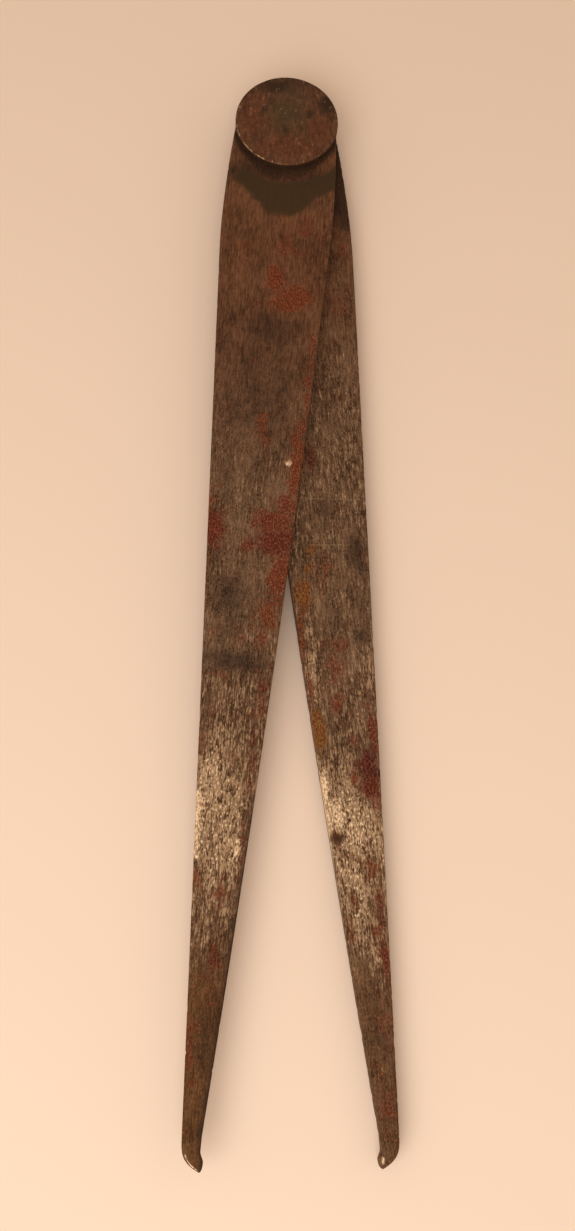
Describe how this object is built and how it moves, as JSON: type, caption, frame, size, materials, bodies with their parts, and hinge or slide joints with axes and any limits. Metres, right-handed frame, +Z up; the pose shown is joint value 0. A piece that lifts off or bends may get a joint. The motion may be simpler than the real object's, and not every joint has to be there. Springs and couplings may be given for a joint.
{
  "type": "firm-joint calipers",
  "caption": "Old rusty steel firm-joint calipers: flat tapered legs with small in-turned toes, riveted face to face at a large round friction joint and standing slightly open.",
  "frame": {"origin": "on the axis of the joint, at the underside of the lower disc, which the tool stands on", "axes": "+Z up along the rivet, square to the flat faces of the legs; -Y along the line halfway between the legs, towards the toes; the lower leg lies towards +X and the upper leg towards -X"},
  "size_m": [0.0368, 0.2132, 0.0098],
  "materials": {
    "leg_steel": "draw-filed flat steel, browned with old oil and light rust",
    "disc_steel": "turned steel, evenly browned, rim worn bright",
    "rivet_steel": "peened and dressed flush with the disc",
    "washer_brass": "thin shim stock, oily"
  },
  "bodies": {
    "root": {"lower_disc": "disc_steel", "lower_washer": "washer_brass", "lower_leg": "leg_steel", "middle_washer": "washer_brass", "upper_washer": "washer_brass", "upper_disc": "disc_steel", "rivet": "rivet_steel"},
    "upper_leg": {"upper_leg": "leg_steel"}
  },
  "joints": [
    {"name": "firm_joint", "type": "hinge", "parent": "root", "child": "upper_leg", "pos_m": [0, 0, 0], "axis": [0, 0, 1], "continuous": true}
  ]
}
